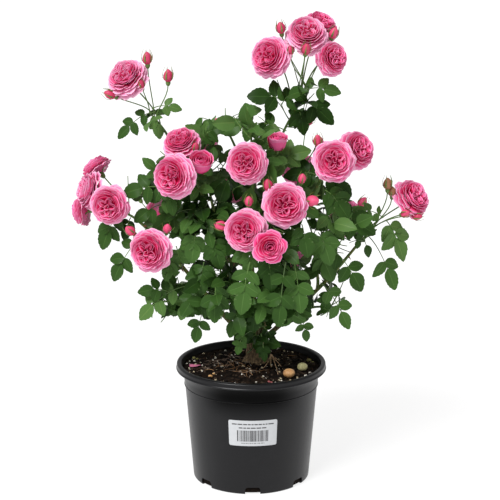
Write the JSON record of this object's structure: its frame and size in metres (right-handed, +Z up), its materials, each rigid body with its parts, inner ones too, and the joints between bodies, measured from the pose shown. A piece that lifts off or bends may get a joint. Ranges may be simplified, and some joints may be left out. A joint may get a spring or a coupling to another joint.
{
  "type": "rose bush in a pot",
  "caption": "A many-caned pink rose bush in bloom, with cupped double flowers, buds and divided leaves, growing in soil in a round black nursery pot with a bare label.",
  "frame": {"origin": "centre of the pot's flat underside, on the ground", "axes": "+Z up, -Y towards the front, where the label is, and +X to the right as seen from the front"},
  "size_m": [0.5799, 0.3608, 0.7773],
  "materials": {
    "pot": "moulded, satin, lightly scuffed",
    "label": "satin film",
    "soil": "moist potting compost with bark and white grains",
    "pebble_tan": "smooth stone",
    "pebble_olive": "smooth stone",
    "bark": "woody bark",
    "cane": "green bark with thorns",
    "foliage": "satin leaves and soft petals",
    "leaf": "satin",
    "petal": "soft",
    "bud": "soft",
    "grain": "matt"
  },
  "bodies": {
    "root": {"pot": "pot", "label": "label", "soil": "soil", "pebble_tan": "pebble_tan", "pebble_olive": "pebble_olive", "stool": "bark", "top_cane": "cane", "upper_left_cane": "cane", "left_cane": "cane", "left_shoulder_cane": "cane", "left_hip_cane": "cane", "low_left_cane": "cane", "centre_top_cane": "cane", "middle_cane": "cane", "front_cane": "cane", "right_shoulder_cane": "cane", "right_arm_cane": "cane", "right_cane": "cane", "low_right_cane": "cane", "skirt_left_cane": "cane", "skirt_right_cane": "cane", "heart_cane": "cane", "back_top_left_cane": "cane", "back_top_right_cane": "cane", "back_left_cane": "cane", "back_centre_cane": "cane", "back_right_cane": "cane", "back_low_left_cane": "cane", "back_low_right_cane": "cane", "top_spray": "foliage", "upper_left_spray": "foliage", "left_spray": "foliage", "left_shoulder_spray": "foliage", "left_hip_spray": "foliage", "low_left_spray": "foliage", "centre_top_spray": "foliage", "middle_spray": "foliage", "front_spray": "foliage", "right_shoulder_spray": "foliage", "right_arm_spray": "foliage", "right_spray": "foliage", "low_right_spray": "foliage", "skirt_left_spray": "foliage", "skirt_right_spray": "foliage", "foot_spray": "foliage", "heart_spray": "foliage", "back_top_left_spray": "foliage", "back_top_right_spray": "foliage", "back_left_spray": "foliage", "back_centre_spray": "foliage", "back_right_spray": "foliage", "back_low_left_spray": "foliage", "back_low_right_spray": "foliage"}
  },
  "joints": []
}
